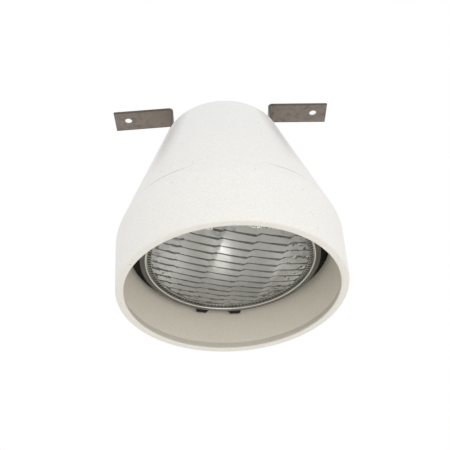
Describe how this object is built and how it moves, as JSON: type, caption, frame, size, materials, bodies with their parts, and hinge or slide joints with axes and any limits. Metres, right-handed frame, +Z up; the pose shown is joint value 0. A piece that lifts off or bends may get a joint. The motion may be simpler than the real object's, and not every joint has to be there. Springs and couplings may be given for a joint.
{
  "type": "heat lamp fixture",
  "caption": "Ceiling heat lamp: a white conical shade on two bent steel brackets, with a sealed beam lamp held by a hinged retaining ring.",
  "frame": {"origin": "the ceiling plane, midway between the two bracket flanges and on the shade's axis", "axes": "+Z up into the ceiling along the shade's axis, +X along the line of the brackets, the mouth faces -Z"},
  "size_m": [0.266, 0.2302, 0.2742],
  "materials": {
    "white_enamel": "semi-gloss white with a fine speckle",
    "bracket_steel": "bare grey-brown strip steel",
    "zinc_steel": "zinc plated",
    "black_steel": "matt black",
    "ring_steel": "turned bare metal with a bright inner edge",
    "lamp_glass": "clear pressed glass with prisms",
    "mirror_glass": "aluminised",
    "ceramic": "glazed white steatite",
    "brass": "plain brass",
    "nylon_grey": "moulded nylon",
    "seal_rubber": "black rubber",
    "lead_sleeve": "woven glass sleeve",
    "tungsten": "dull tungsten"
  },
  "bodies": {
    "fixture": {"block_screw": "zinc_steel", "bracket_bolt_1": "zinc_steel", "bracket_bolt_2": "zinc_steel", "bracket_bolt_3": "zinc_steel", "bracket_bolt_4": "zinc_steel", "bracket_left": "bracket_steel", "bracket_nut_1": "zinc_steel", "bracket_nut_2": "zinc_steel", "bracket_nut_3": "zinc_steel", "bracket_nut_4": "zinc_steel", "bracket_right": "bracket_steel", "bracket_washer_1": "zinc_steel", "bracket_washer_2": "zinc_steel", "bracket_washer_3": "zinc_steel", "bracket_washer_4": "zinc_steel", "carrier_screw_1": "black_steel", "carrier_screw_2": "black_steel", "carrier_screw_3": "black_steel", "carrier_screw_4": "black_steel", "filament_support_left": "zinc_steel", "filament_support_right": "zinc_steel", "gland_body": "nylon_grey", "gland_dome_nut": "nylon_grey", "gland_locknut": "nylon_grey", "gland_seal": "seal_rubber", "hinge_pin_left": "zinc_steel", "hinge_pin_right": "zinc_steel", "lamp_carrier": "black_steel", "lamp_filament": "tungsten", "lamp_lens": "lamp_glass", "lamp_prong_left": "brass", "lamp_prong_right": "brass", "lamp_reflector": "mirror_glass", "lampholder": "ceramic", "lampholder_contact_left": "brass", "lampholder_contact_right": "brass", "latch_nut": "zinc_steel", "lead_left": "lead_sleeve", "lead_right": "lead_sleeve", "shade": "white_enamel", "terminal_block": "ceramic", "terminal_screw_1": "brass", "terminal_screw_2": "brass"},
    "ring": {"retaining_ring": "ring_steel", "hinge_strap_left": "black_steel", "hinge_strap_right": "black_steel", "thumb_screw_clip": "zinc_steel"},
    "thumb_screw": {"thumb_screw": "black_steel"}
  },
  "joints": [
    {"name": "ring_hinge", "type": "hinge", "parent": "fixture", "child": "ring", "pos_m": [-0.015, 0.09158, -0.2303], "axis": [0.9869, 0.1616, 0], "range_deg": [0, 44]},
    {"name": "thumb_screw_turn", "type": "hinge", "parent": "ring", "child": "thumb_screw", "pos_m": [0.01543, -0.09424, -0.2445], "axis": [0, 0, 1], "continuous": true}
  ]
}
